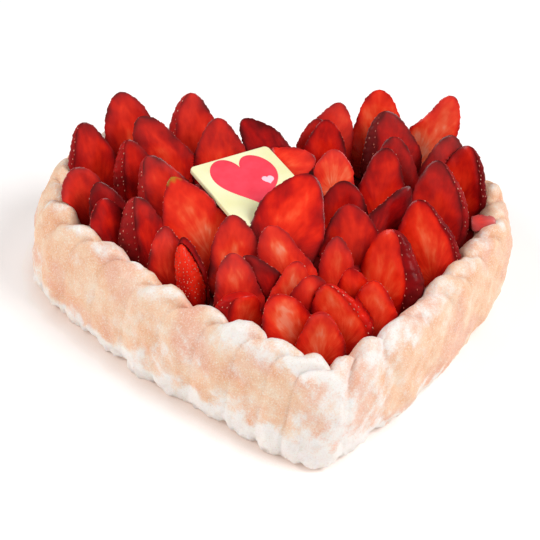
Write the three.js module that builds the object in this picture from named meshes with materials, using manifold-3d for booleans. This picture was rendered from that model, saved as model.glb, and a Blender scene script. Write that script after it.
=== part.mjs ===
// Heart shaped strawberry charlotte: a band of soft sponge fingers round a red
// jelly filling, covered with standing strawberry slices and a chocolate plaque.
// Millimetres, Z up, the tip of the heart towards -Y, the bottom at z = 0.
import * as THREE from "three";
import { mergeVertices } from "three/addons/utils/BufferGeometryUtils.js";
import Module from "manifold-3d";

const wasm = await Module();
wasm.setup();
const { Manifold, Mesh: Body } = wasm;

// Driving dimensions of the heart, seen from above
const WIDTH = 240;
const LENGTH = 200;
const LOBE = 61; // radius of the two round lobes
const BULGE = 7; // how far each side swells past a straight line
const SOFTEN = 11; // corners are rounded over this length of the outline
const TIP_THICKER = 0.2; // the band is this much thicker where it bends at the tip

// The band of sponge fingers
const BAND_HEIGHT = 51.5;
const BAND_THICK = 20;
const FINGERS = 36;
const STEPS_PER_FINGER = 4;

// What it holds
const BED_TOP = 32;
const GAP = 0.3; // air between neighbours

// The plaque
const PLAQUE_SIDE = 45;
const PLAQUE_THICK = 2.5;
const PLAQUE_CORNER = 2.5;

const rad = (degrees) => (degrees * Math.PI) / 180;
const wrap = (i, n) => ((i % n) + n) % n;

// ---- the outline of the heart ------------------------------------------------

// Half of the heart from the notch to the tip: round the lobe to where the line
// from the tip touches it, then down that line, swollen outwards by a parabola.
function halfHeart(side) {
  const cx = WIDTH / 2 - LOBE;
  const cy = LENGTH / 2 - LOBE;
  const tipY = -LENGTH / 2;
  const start = Math.PI - Math.acos(cx / LOBE);
  const end =
    Math.atan2(tipY - cy, -cx) + Math.acos(LOBE / Math.hypot(cx, tipY - cy));
  const points = [];
  for (let i = 0; i < 200; i++) {
    const a = start + ((end - start) * i) / 200;
    points.push([cx + LOBE * Math.cos(a), cy + LOBE * Math.sin(a)]);
  }
  const from = [cx + LOBE * Math.cos(end), cy + LOBE * Math.sin(end)];
  for (let i = 0; i <= 120; i++) {
    const t = i / 120;
    const out = BULGE * 4 * t * (1 - t);
    points.push([
      from[0] * (1 - t) + out * Math.cos(end),
      from[1] * (1 - t) + tipY * t + out * Math.sin(end),
    ]);
  }
  return points.map(([x, y]) => [side * x, y]);
}

// The closed loop cut into equal steps.
function resample(loop, count) {
  const ring = [...loop, loop[0]];
  const along = [0];
  for (let i = 1; i < ring.length; i++)
    along.push(
      along[i - 1] +
        Math.hypot(ring[i][0] - ring[i - 1][0], ring[i][1] - ring[i - 1][1]),
    );
  const out = [];
  let k = 1;
  for (let i = 0; i < count; i++) {
    const s = (along.at(-1) * i) / count;
    while (along[k] < s) k++;
    const t = (s - along[k - 1]) / (along[k] - along[k - 1] || 1);
    out.push([0, 1].map((c) => ring[k - 1][c] * (1 - t) + ring[k][c] * t));
  }
  return out;
}

// The mean of each value and its neighbours within half a window.
const average = (list, half, pick) =>
  list.map((_, i) => {
    let sum = 0;
    for (let k = -half; k <= half; k++) sum += pick(i, k);
    return sum / (2 * half + 1);
  });

// Points of the outline, each with a spoke that points outwards. The spokes are
// the outline's own normals averaged over 25 mm each way, so that they fan out
// smoothly at the tip and rings drawn inside the outline never cross.
function heartOutline(count) {
  const fine = 1152;
  const left = halfHeart(-1);
  const right = halfHeart(1).reverse();
  let loop = resample([...left, ...right.slice(1, -1)], fine);
  const half = Math.round(SOFTEN / 1.2);
  for (let pass = 0; pass < 3; pass++) {
    const axis = (c) =>
      average(loop, half, (i, k) => loop[wrap(i + k, fine)][c]);
    const [xs, ys] = [axis(0), axis(1)];
    loop = xs.map((x, i) => [x, ys[i]]);
  }
  loop = resample(loop, fine);
  const angles = [];
  loop.forEach((_, i) => {
    const a = loop[wrap(i - 1, fine)];
    const b = loop[wrap(i + 1, fine)];
    let angle = Math.atan2(a[0] - b[0], b[1] - a[1]);
    if (i)
      angle +=
        2 * Math.PI * Math.round((angles[i - 1] - angle) / (2 * Math.PI));
    angles.push(angle);
  });
  const turned = (i) => angles[wrap(i, fine)] + 2 * Math.PI * Math.floor(i / fine);
  const spokes = average(angles, 40, (i, k) => turned(i + k));
  return Array.from({ length: count }, (_, i) => {
    const j = (i * fine) / count;
    return {
      x: loop[j][0],
      y: loop[j][1],
      ox: Math.cos(spokes[j]),
      oy: Math.sin(spokes[j]),
      turn: (2 * Math.PI * i) / count,
      thick: 1 + TIP_THICKER * Math.exp(-(((j - fine / 2) / 27) ** 2)),
    };
  });
}

// The point of a spoke that lies inset inside the outline.
function inside(p, inset) {
  const d = inset > 0 ? inset * p.thick : inset;
  return [p.x - p.ox * d, p.y - p.oy * d];
}

// ---- bodies ------------------------------------------------------------------

function bodyOf(points, triangles) {
  return new Manifold(
    new Body({
      numProp: 3,
      vertProperties: new Float32Array(points.flat()),
      triVerts: new Uint32Array(triangles.flat()),
    }),
  );
}

// A flat outline drawn out upwards into a plate.
function plate(outline, thick) {
  const shape = new THREE.Shape(outline.map(([x, y]) => new THREE.Vector2(x, y)));
  return new THREE.ExtrudeGeometry(shape, { depth: thick, bevelEnabled: false });
}

// The solid that a geometry encloses.
function solidOf(geometry) {
  geometry.deleteAttribute("normal");
  geometry.deleteAttribute("uv");
  const merged = mergeVertices(geometry, 1e-4);
  return new Manifold(
    new Body({
      numProp: 3,
      vertProperties: new Float32Array(merged.getAttribute("position").array),
      triVerts: new Uint32Array(merged.getIndex().array),
    }),
  );
}

const around = heartOutline(FINGERS * STEPS_PER_FINGER);

// 1 in the crease between two fingers, falling to 0 at the middle of a finger.
const crease = (i) =>
  Math.abs((2 * wrap(i, STEPS_PER_FINGER)) / STEPS_PER_FINGER - 1) ** 2.2;

// Slow waves round the band, for fingers of uneven height and girth.
const sway = (turn) =>
  0.9 * Math.sin(7 * turn + 1) + 0.6 * Math.sin(11 * turn + 2.3);

// The section of the band: how far inside the outline, how high, and how deep
// the crease between two fingers is there.
const SECTION = [
  [4.5, 0, 1.6],
  [2.0, 1.8, 2.2],
  [0.6, 5.5, 2.2],
  [0.0, 11, 1.7],
  [0.1, 20, 1.0],
  [1.2, 32, 0.9],
  [2.4, 38.5, 1.4],
  [4.2, 44, 2.6],
  [6.6, 48.2, 3.4],
  [9.6, 50.8, 4.2],
  [12.6, 51.5, 4.5],
  [15.4, 50.2, 4.0],
  [17.6, 47.0, 2.8],
  [19.2, 41.5, 1.2],
  [BAND_THICK, 33, 0],
  [BAND_THICK, 0, 0],
];

// The band, swept round the heart; grow makes it thicker, for cutting others.
function band(grow = 0) {
  const points = [];
  const triangles = [];
  const m = SECTION.length;
  const n = around.length;
  around.forEach((p, i) => {
    const deep = crease(i);
    SECTION.forEach(([inset, z, bump], j) => {
      const a = SECTION[Math.max(j - 1, 0)];
      const b = SECTION[Math.min(j + 1, m - 1)];
      const run = Math.hypot(b[0] - a[0], b[1] - a[1]);
      const outIn = (b[1] - a[1]) / run; // the section's own normal
      const outUp = (b[0] - a[0]) / run;
      const flat = z === 0;
      const push = grow - bump * deep;
      const d = inset - (flat ? (j ? grow : push) : outIn * push);
      const wave = (z / BAND_HEIGHT) * sway(p.turn) * (bump > 0 ? 1 : 0);
      const up = flat ? -grow : z + outUp * push + wave;
      points.push([...inside(p, d), up]);
      const next = wrap(i + 1, n);
      const q = [i * m + j, next * m + j, next * m + ((j + 1) % m), i * m + ((j + 1) % m)];
      triangles.push([q[0], q[1], q[2]], [q[0], q[2], q[3]]);
    });
  });
  return bodyOf(points, triangles);
}

// The filling, a slab inside the band from the floor up to the bed.
function bed() {
  const ring = around.map((p) => inside(p, BAND_THICK + GAP));
  return solidOf(plate(ring, BED_TOP));
}

// Directions of a piece that faces the reader, leans back, is turned about the
// vertical and rolled in its own plane: across, along and out of its face.
function frameOf({ lean = 0, turn = 0, roll = 0 }) {
  const [l, t, r] = [rad(lean), rad(turn), rad(roll)];
  const across = new THREE.Vector3(Math.cos(t), Math.sin(t), 0);
  const along = new THREE.Vector3(
    -Math.sin(t) * Math.sin(l),
    Math.cos(t) * Math.sin(l),
    Math.cos(l),
  );
  const face = new THREE.Vector3().crossVectors(across, along);
  return [
    across.clone().multiplyScalar(Math.cos(r)).addScaledVector(along, -Math.sin(r)),
    along.clone().multiplyScalar(Math.cos(r)).addScaledVector(across, Math.sin(r)),
    face,
  ];
}

// A strawberry cut lengthwise. Its width a fraction v up from the stem end is
// sin(pi v^0.62) of the widest, raised to the power point: 0.5 gives a full tip
// and 0.9 a sharp one. The cut face is flat and the skin behind it is half an
// ellipse.
function strawberry(s, grow = 0) {
  const { tip, long, wide, thick, point = 0.5, back } = s;
  const [across, along, face] = frameOf(s);
  const rings = [0.04, 0.14, 0.3, 0.48, 0.66, 0.82, 0.93];
  const sides = 7;
  const points = [];
  const triangles = [];
  const put = (a, b, c) => {
    const turned = back ? -1 : 1;
    points.push(
      new THREE.Vector3(...tip)
        .addScaledVector(across, a * turned)
        .addScaledVector(along, b)
        .addScaledVector(face, back ? -c - thick * 0.6 : c)
        .toArray(),
    );
  };
  rings.forEach((v, j) => {
    const part = Math.sin(Math.PI * v ** 0.62) ** point;
    const half = (wide / 2) * part + grow;
    const deep = thick * part ** 0.8 + 2 * grow;
    for (let k = 0; k < sides; k++) {
      const a = (Math.PI * k) / (sides - 1);
      put(half * Math.cos(a), (v - 1) * long - (j ? 0 : grow), grow - deep * Math.sin(a) ** 0.9);
      if (j) {
        const [p, q] = [(j - 1) * sides + k, (j - 1) * sides + ((k + 1) % sides)];
        triangles.push([p, q, q + sides], [p, q + sides, p + sides]);
      }
    }
  });
  put(0, grow, -thick * 0.12);
  const top = points.length - 1;
  const last = (rings.length - 1) * sides;
  for (let k = 0; k < sides; k++)
    triangles.push([last + k, last + ((k + 1) % sides), top]);
  for (let k = 1; k < sides - 1; k++) triangles.push([0, k + 1, k]);
  return bodyOf(points, triangles);
}

// The plaque: a thin square plate with rounded corners.
function plaque(s, grow = 0) {
  const [across, along, face] = frameOf(s);
  const half = PLAQUE_SIDE / 2 - PLAQUE_CORNER;
  const corner = [];
  for (let q = 0; q < 4; q++)
    for (let k = 0; k <= 2; k++) {
      const a = (Math.PI / 2) * (q + k / 2);
      const [sx, sy] = [
        [1, 1],
        [-1, 1],
        [-1, -1],
        [1, -1],
      ][q];
      corner.push([
        sx * half + (PLAQUE_CORNER + grow) * Math.cos(a),
        sy * half + (PLAQUE_CORNER + grow) * Math.sin(a),
      ]);
    }
  const square = plate(corner, PLAQUE_THICK + 2 * grow);
  square.translate(0, 0, -PLAQUE_THICK - grow);
  const place = new THREE.Matrix4().makeBasis(across, along, face);
  square.applyMatrix4(place.setPosition(...s.at));
  return solidOf(square);
}

// ---- where each slice stands -------------------------------------------------

// Each row: tip of the strawberry, how far it leans back, which way it is
// turned (right is positive), how it is rolled (its tip to the right), then its
// length, width, thickness and point. The rows run from the front of the heart to the
// back. A slice marked back shows its skin.
const row = (name, slices) =>
  slices.map(([tip, [lean, turn, roll], [long, wide, thick, point], back], i) => ({
    name: name + "_" + (i + 1),
    tip, lean, turn, roll, long, wide, thick, point, back,
  }));

const SLICES = [
  ...row("front_row", [
    [[-1, -59, 58], [6, -12, -6], [32, 22, 9]],
    [[-21, -49, 59], [16, 5, -30], [36, 25, 10]],
    [[25, -42, 61], [14, -16, -8], [34, 22, 9]],
    [[3, -44, 61], [14, -20, -26], [36, 26, 9]],
    [[-33, -43, 53.5], [8, 12, 0], [26, 24, 10, 0.25]],
    [[-1, -39, 62], [20, -10, 0], [34, 26, 7]],
    [[16, -33, 61], [24, -10, -20], [32, 20, 8]],
    [[-7, -30, 62.5], [22, -10, 0], [34, 21, 8]],
  ]),
  ...row("second_row", [
    [[-36, -26, 64], [20, -6, -12], [38, 23, 8]],
    [[-29.5, -23, 60], [24, -10, -36], [36, 22, 6]],
    [[-57, -17, 60.5], [14, -8, -17], [34, 13, 9], true],
    [[37.5, -17, 70], [24, -46, -16], [46, 32, 18]],
    [[13, -17, 66], [22, -12, -8], [38, 19, 7]],
    [[-56, -13, 62.5], [18, -10, -18], [36, 14, 7]],
    [[-63, -6, 63], [16, 0, -6], [34, 19, 8]],
    [[-17.5, -10, 66.5], [28, -12, -28], [42, 26, 9]],
  ]),
  ...row("third_row", [
    [[-33, -4, 68], [26, -10, -10], [42, 26, 10]],
    [[22, 3, 69], [28, -12, -12], [42, 31, 9]],
    [[55, 5, 70], [26, -26, -26], [46, 30, 10]],
    [[56, 19, 67], [32, 8, 42], [36, 16, 7]],
    [[4.5, 10.5, 80], [42, -12, 18], [54, 36, 13]],
    [[-58, 21.5, 70], [32, -6, -30], [50, 32, 11, 0.6]],
    [[-75, 12, 65.5], [22, 18, -8], [40, 24, 11]],
    [[-89, 15, 62.5], [20, 20, -8], [34, 22, 8]],
    [[25, 25, 66], [28, -12, -4], [40, 30, 8]],
  ]),
  ...row("fourth_row", [
    [[72, 34, 72], [26, -34, -18], [48, 30, 10]],
    [[50, 46, 70.5], [28, -20, -6], [44, 26, 9]],
    [[-45, 27, 62], [30, -10, -28], [36, 24, 7]],
    [[-91, 26, 63.5], [24, 8, -16], [34, 20, 6]],
    [[-68, 36, 71], [26, 10, -24], [46, 28, 10]],
    [[-101, 34, 65.5], [18, 20, -12], [38, 28, 8]],
    [[24.5, 48, 68], [32, -12, -4], [24, 21, 12]],
    [[15.6, 47.5, 63], [42, -10, 66], [34, 22, 12]],
    [[55.5, 55, 71], [28, -18, -10], [46, 28, 7]],
    [[93, 50, 69.5], [20, -42, -10], [44, 28, 9]],
    [[86, 57, 71], [24, -35, -10], [44, 27, 7]],
    [[-76, 49, 71], [22, 16, -10], [44, 24, 11]],
    [[100, 11.5, 52], [50, -20, 74], [12, 8, 5, 0.3]],
  ]),
  ...row("fifth_row", [
    [[23, 66, 73], [26, -15, -8], [46, 26, 8]],
    [[54, 71.5, 75], [26, 4, -10], [50, 32, 11]],
    [[-31.5, 64.5, 74], [26, -12, -12], [46, 30, 8]],
    [[-69.5, 64, 74], [24, -4, -34], [50, 28, 8]],
    [[-19, 66, 72.5], [38, -12, -46], [42, 22, 8]],
    [[20.5, 73, 69], [24, -4, -6], [44, 27, 7]],
  ]),
  ...row("back_row", [
    [[-96, 64.5, 70], [22, 14, -10], [44, 26, 9]],
    [[-77.5, 81, 77], [22, 0, -14], [50, 30, 9]],
    [[-43, 81.5, 77], [22, 0, -8], [48, 28, 10]],
    [[33.5, 81.5, 73], [22, -14, 8], [46, 28, 8]],
    [[54.5, 88, 77], [22, -14, -8], [48, 31, 8]],
    [[93, 83, 77], [22, -28, 12], [48, 27, 8, 0.5]],
  ]),
];

const PLAQUE = { at: [-17.8, 26, 62.5], lean: 84.5, turn: 32, roll: 6 };

// ---- the cake ----------------------------------------------------------------

const sponge = new THREE.MeshStandardMaterial({ color: "#f2d3bb", roughness: 0.95 });
const jelly = new THREE.MeshStandardMaterial({ color: "#7d0f10", roughness: 0.15 });
const flesh = new THREE.MeshStandardMaterial({ color: "#cf2418", roughness: 0.25 });
const chocolate = new THREE.MeshStandardMaterial({ color: "#f3f1c4", roughness: 0.4 });

function addNode(group, name, body, material) {
  const made = body.getMesh();
  const geometry = new THREE.BufferGeometry();
  const position = new Float32Array(made.numVert * 3);
  for (let i = 0; i < made.numVert; i++)
    position.set(made.vertProperties.subarray(i * made.numProp, i * made.numProp + 3), i * 3);
  geometry.setAttribute("position", new THREE.BufferAttribute(position, 3));
  geometry.setIndex(new THREE.BufferAttribute(new Uint32Array(made.triVerts), 1));
  geometry.computeVertexNormals();
  const mesh = new THREE.Mesh(geometry, material);
  mesh.name = name;
  group.add(mesh);
}

const group = new THREE.Group();
addNode(group, "sponge_band", band(), sponge);
addNode(group, "jelly_bed", bed(), jelly);
addNode(group, "plaque", plaque(PLAQUE), chocolate);

// Soft fruit gives way to what it leans on: each slice is cut back from the
// band, the plaque and the slices in front of it, and ends at the bed.
const bandCutter = band(GAP);
const cutters = [bandCutter, plaque(PLAQUE, GAP)];
for (const slice of SLICES) {
  let body = strawberry(slice).trimByPlane([0, 0, 1], BED_TOP + GAP);
  for (const cutter of cutters)
    if (body.intersect(cutter).volume() > 0) body = body.subtract(cutter);
  const largest = body
    .decompose()
    .sort((a, b) => b.volume() - a.volume())[0];
  addNode(group, slice.name, largest, flesh);
  cutters.push(strawberry(slice, GAP));
}

// The origin is under the middle of the cake's box.
const box = new THREE.Box3().setFromObject(group);
const middle = box.getCenter(new THREE.Vector3());
group.position.set(-middle.x, -middle.y, -box.min.z);
group.updateMatrixWorld(true);

export default group;
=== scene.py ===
import math

import bpy
import numpy as np
from mathutils import Matrix, Vector


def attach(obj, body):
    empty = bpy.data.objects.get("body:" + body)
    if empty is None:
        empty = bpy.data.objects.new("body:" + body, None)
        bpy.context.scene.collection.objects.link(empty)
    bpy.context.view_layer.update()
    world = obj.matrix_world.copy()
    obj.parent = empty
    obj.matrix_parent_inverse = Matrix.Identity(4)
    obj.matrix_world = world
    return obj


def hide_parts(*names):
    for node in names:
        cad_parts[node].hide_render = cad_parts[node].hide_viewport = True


# Heart shaped strawberry charlotte, standing on z = 0 with the tip of the heart
# towards -Y. Sizes are in millimetres until a mesh is made.

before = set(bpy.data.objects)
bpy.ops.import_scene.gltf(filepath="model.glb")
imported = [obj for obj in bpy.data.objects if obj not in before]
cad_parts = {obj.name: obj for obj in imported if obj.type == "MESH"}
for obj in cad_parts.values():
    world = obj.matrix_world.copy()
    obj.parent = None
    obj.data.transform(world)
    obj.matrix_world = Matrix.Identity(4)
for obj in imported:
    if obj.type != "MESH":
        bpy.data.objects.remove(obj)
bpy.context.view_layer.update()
mm = 0.001
middle = np.array([0.0, -1.66, 0.0])  # from the middle of the heart to the middle of the cake's box
floorGap = 0.02  # mm, so that no face lies in the plane of the floor


# sRGB hex to linear red, green, blue and alpha
def linear(hexColour):
    c = np.array([int(hexColour[i:i + 2], 16) for i in (1, 3, 5)]) / 255
    c = np.where(c <= 0.04045, c / 12.92, ((c + 0.055) / 1.055) ** 2.4)
    return (*c.tolist(), 1.0)


def newObject(name, data):
    made = bpy.data.objects.new(name, data)
    bpy.context.scene.collection.objects.link(made)
    return made


# a mesh object from points in mm and faces, with its place in the mesh
def meshFrom(name, points, quads, tris=None):
    faces = [tuple(q) for q in np.asarray(quads).tolist()]
    if tris is not None:
        faces += [tuple(t) for t in np.asarray(tris).tolist()]
    mesh = bpy.data.meshes.new(name)
    mesh.from_pydata(((points + middle) * mm).tolist(), [], faces)
    mesh.update()
    mesh.polygons.foreach_set("use_smooth", [True] * len(mesh.polygons))
    return newObject(name, mesh)


# one number for each vertex, for the material to read
def setAttribute(made, name, values):
    layer = made.data.attributes.new(name, "FLOAT", "POINT")
    layer.data.foreach_set("value", np.asarray(values, dtype=np.float32).ravel())


# two numbers for each vertex, the same in all its faces, as a UV map
def setUv(made, uv):
    layer = made.data.uv_layers.new(name="fibres")
    corner = np.empty(len(made.data.loops), dtype=np.int32)
    made.data.loops.foreach_get("vertex_index", corner)
    layer.data.foreach_set("uv", uv[corner].astype(np.float32).ravel())


# points of a plane, each lifted to its level
def raised(flat, level):
    return np.concatenate([flat, np.broadcast_to(level, flat.shape[:-1] + (1,))], -1)


# quads of a grid whose last column joins the first, and so does its last row where it is closed
def gridQuads(rows, columns, closed=False):
    r = np.arange(rows if closed else rows - 1)[:, None]
    c = np.arange(columns)
    nextR, nextC = (r + 1) % rows, (c + 1) % columns
    corners = [r * columns + c, r * columns + nextC, nextR * columns + nextC, nextR * columns + c]
    return np.stack(corners, -1).reshape(-1, 4)


# triangles from a ring of vertices to one vertex in its middle
def fan(start, count, centre, flip=False):
    k = np.arange(count)
    near, far = start + k, start + (k + 1) % count
    return np.c_[far, near, np.full(count, centre)] if flip else np.c_[near, far, np.full(count, centre)]


# triangles that close both ends of a stack of rings with the two points that come after them
def caps(rings, around):
    return np.r_[fan((rings - 1) * around, around, rings * around), fan(0, around, rings * around + 1, True)]


# A closed stack of rings. Its points end with the middle of its last ring and of its first one.
def stackFrom(name, points, rings, around, turned=False):
    way = -1 if turned else 1
    return meshFrom(name, points, gridQuads(rings, around)[:, ::way], caps(rings, around)[:, ::way])


# soft lumps: a sum of sines in random directions, each about size mm long, mostly between -1 and 1
def waves(points, size, seed, count=14):
    draw = np.random.default_rng(seed)
    way = draw.normal(size=(count, 3))
    way /= np.linalg.norm(way, axis=1)[:, None]
    turn = 2 * np.pi / (size * draw.uniform(0.7, 1.5, count))
    phase = draw.uniform(0, 2 * np.pi, count)
    return np.sin((points @ way.T) * turn + phase).sum(-1) / math.sqrt(count)


# 0 below low, 1 above high, 3t^2 - 2t^3 between
def smoothStep(low, high, x):
    t = np.clip((x - low) / (high - low), 0, 1)
    return t * t * (3 - 2 * t)


# exp(-(x / wide)^2), which is 1 at 0 and fades to both sides
def bell(x, wide):
    return np.exp(-((x / wide) ** 2))


def newMaterial(name):
    made = bpy.data.materials.new(name)
    made.use_nodes = True
    made.node_tree.nodes.clear()
    return made


# Adds a node. Settings are properties or input values, links are {input: output socket}, and stops
# fill a colour ramp, its two ends first.
def addNode(material, kind, settings=None, links=None, stops=(), output=0):
    node = material.node_tree.nodes.new("ShaderNode" + kind)
    for key, value in (settings or {}).items():
        if isinstance(key, str) and hasattr(node, key):
            setattr(node, key, value)
        else:
            node.inputs[key].default_value = value
    for key, source in (links or {}).items():
        material.node_tree.links.new(source, node.inputs[key])
    for i, (place, colour) in enumerate(stops):
        element = node.color_ramp.elements[i] if i < 2 else node.color_ramp.elements.new(place)
        element.position, element.color = place, linear(colour)
    return node.outputs[output] if len(node.outputs) else node


# the camera of the photograph
cameraSet = {
    "azimuth": -15.0,  # degrees, negative is to the left
    "elevation": 39.4,
    "distance": 620.0,
    "aim": (-8.5, 8.5, 25.0),
    "roll": 9.2,
    "focalPixels": 1297.0,
    "framePixels": 540.0,
    "sensor": 36.0,
    "clip": (0.01, 20.0),  # metres
}


def placeCamera(c):
    a, e, r = (math.radians(c[k]) for k in ("azimuth", "elevation", "roll"))
    back = Vector((math.sin(a) * math.cos(e), -math.cos(a) * math.cos(e), math.sin(e)))
    right = Vector((math.cos(a), math.sin(a), 0))
    up = back.cross(right)
    across = math.cos(r) * right + math.sin(r) * up
    upward = math.cos(r) * up - math.sin(r) * right
    camera = newObject("camera", bpy.data.cameras.new("camera"))
    turn = Matrix((across, upward, back)).transposed().to_4x4()
    place = Vector(((np.array(c["aim"]) + middle) * mm).tolist()) + back * c["distance"] * mm
    camera.matrix_world = Matrix.Translation(place) @ turn
    camera.data.sensor_width = c["sensor"]
    camera.data.lens = c["sensor"] * c["focalPixels"] / c["framePixels"]
    camera.data.clip_start, camera.data.clip_end = c["clip"]
    bpy.context.scene.camera = camera


placeCamera(cameraSet)
print("camera set")


# the outline of the heart
heart = {
    "width": 240.0,
    "length": 200.0,
    "lobe": 61.0,  # radius of the two lobes
    "bulge": 7.0,  # how far the long sides swell
    "arcSteps": 200,
    "sideSteps": 120,
    "samples": 1152,  # even steps round the finished outline
    "soften": 9,  # samples to each side in the running means that round the tip and the cleft
    "spokeSoften": 40,  # and in the one that turns the spokes evenly
    "tipThicker": 0.2,  # how much thicker the band is at the tip
    "tipReach": 27,  # samples
}


# round the lobe to where the line from the tip touches it, then down that line, swollen by 4t(1 - t)
def halfHeart(h):
    cx, cy, tip = h["width"] / 2 - h["lobe"], h["length"] / 2 - h["lobe"], -h["length"] / 2
    start = np.pi - np.arccos(cx / h["lobe"])
    end = np.arctan2(tip - cy, -cx) + np.arccos(h["lobe"] / np.hypot(cx, tip - cy))
    a = start + (end - start) * np.arange(h["arcSteps"]) / h["arcSteps"]
    arc = np.c_[cx + h["lobe"] * np.cos(a), cy + h["lobe"] * np.sin(a)]
    t = np.arange(h["sideSteps"] + 1) / h["sideSteps"]
    out = h["bulge"] * 4 * t * (1 - t)
    side = np.c_[(cx + h["lobe"] * np.cos(end)) * (1 - t) + out * np.cos(end),
                 (cy + h["lobe"] * np.sin(end)) * (1 - t) + tip * t + out * np.sin(end)]
    return np.r_[arc, side]


# the closed loop cut into equal steps along its length
def evenly(loop, count):
    ring = np.r_[loop, loop[:1]]
    along = np.r_[0, np.cumsum(np.hypot(*np.diff(ring, axis=0).T))]
    place = along[-1] * np.arange(count) / count
    return np.c_[np.interp(place, along, ring[:, 0]), np.interp(place, along, ring[:, 1])]


# the mean of each value of a closed row and its neighbours up to half away
def meanAround(values, half):
    c = np.cumsum(np.r_[values[-half - 1:], values, values[:half]])
    return (c[2 * half + 1:] - c[:-2 * half - 1]) / (2 * half + 1)


# The outline's points, its spokes, which point outwards, and how many times its thickness the band
# is there: 1 + share exp(-(d / reach)^2) at d samples from the tip.
def heartOutline(h):
    n, side = h["samples"], h["spokeSoften"]
    left, right = halfHeart(h) * [-1, 1], halfHeart(h)[::-1]
    loop = evenly(np.r_[left, right[1:-1]], n)
    for _ in range(3):
        loop = np.c_[meanAround(loop[:, 0], h["soften"]), meanAround(loop[:, 1], h["soften"])]
    loop = evenly(loop, n)
    d = np.roll(loop, -1, 0) - np.roll(loop, 1, 0)
    angle = np.unwrap(np.arctan2(-d[:, 0], d[:, 1]))
    wide = np.r_[angle[-side:] - 2 * np.pi, angle, angle[:side] + 2 * np.pi]
    c = np.cumsum(np.r_[0, wide])
    span = 2 * side + 1
    spoke = (c[span:] - c[:-span]) / span
    thick = 1 + h["tipThicker"] * bell(np.arange(n) - n / 2, h["tipReach"])
    return loop, np.c_[np.cos(spoke), np.sin(spoke)], thick


outline, spokes, tipThick = heartOutline(heart)
outlineLength = np.hypot(*(np.roll(outline, -1, 0) - outline).T).sum()

# the band of soft sponge fingers, dusted with sugar
band = {
    "height": 51.5,
    "thick": 20.0,
    "fingers": 36,
    "rows": 84,
    "creaseLean": 0.42,  # a crease slips by this share of a finger from the rim to the outer wall
    "rightLean": -0.45,  # and the other way on the right hand side
    "rightDeep": 0.6,  # where the creases are this much as deep
    "rightCalm": 0.6,  # and lumps and clumps lose this share
    "tipLean": 0.62,  # the crease at the tip slips by this much more
    "tipFlat": 0.5,  # and loses this share of its depth
    "tipCrease": 0.3,  # but the finger left of it is sunk by this much
    "slitShade": 1.8,  # a slit of this depth would be wholly in shade
    "girth": 0.5,  # how much fatter or thinner a finger may be
    "tall": 1.2,  # and how much taller or shorter
    "footSwell": 2.4,  # how far the foot spreads left of the tip
    "lump": 0.9,
    "crumb": 0.09,
    "clump": 0.26,
    # the rim rises over these stretches: start, full, still full, end, as shares of the way round, and mm
    "rimRises": [(0.49, 0.55, 0.66, 0.70, 2.6), (0.385, 0.405, 0.49, 0.52, 1.7)],
    # and rises or dips round these places: place, width, mm
    "rimBumps": [(0.272, 0.022, -2.6), (0.725, 0.02, -1.3), (0.335, 0.012, 1.2), (0.372, 0.012, -0.9)],
    # how far inside the outline, how high, and how deep the crease between two fingers is there
    "section": [
        [4.5, 0, 1.6], [2.0, 1.8, 2.0], [0.6, 5.5, 1.6], [0.0, 11, 1.0], [0.1, 20, 0.6], [1.2, 32, 0.6],
        [2.4, 38.5, 1.0], [4.2, 44, 2.2], [6.6, 48.2, 3.4], [9.6, 50.8, 4.2], [12.6, 51.5, 4.5],
        [15.4, 50.2, 4.0], [17.6, 47.0, 2.8], [19.2, 41.5, 1.2], [20.0, 33, 0.0], [20.0, 28, 0.0],
    ],
}


# the section carried through its points by a running mean, with even steps along it
def sectionCurve(b):
    s = np.array(b["section"], float)
    length = np.r_[0, np.cumsum(np.hypot(*np.diff(s[:, :2], axis=0).T))]
    fine = np.linspace(0, length[-1], 600)
    curve = np.stack([np.interp(fine, length, s[:, k]) for k in range(3)], 1)
    for _ in range(3):
        pad = np.r_[np.repeat(curve[:1], 12, 0), curve, np.repeat(curve[-1:], 12, 0)]
        total = np.cumsum(np.r_[np.zeros((1, 3)), pad], axis=0)
        curve = (total[25:] - total[:-25]) / 25
    curve[0], curve[-1] = s[0], s[-1]
    place = np.linspace(0, length[-1], b["rows"])
    return np.stack([np.interp(place, fine, curve[:, k]) for k in range(3)], 1)


# how far the rim rises: lift times smoothStep at both ends of a stretch, lift exp(-(d / width)^2) at a place
def rimLift(b, turn):
    rises = [lift * smoothStep(start, full, turn) * smoothStep(end, last, turn)
             for start, full, last, end, lift in b["rimRises"]]
    bumps = [lift * bell(turn - place, wide) for place, wide, lift in b["rimBumps"]]
    return sum(rises) + sum(bumps)


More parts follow.
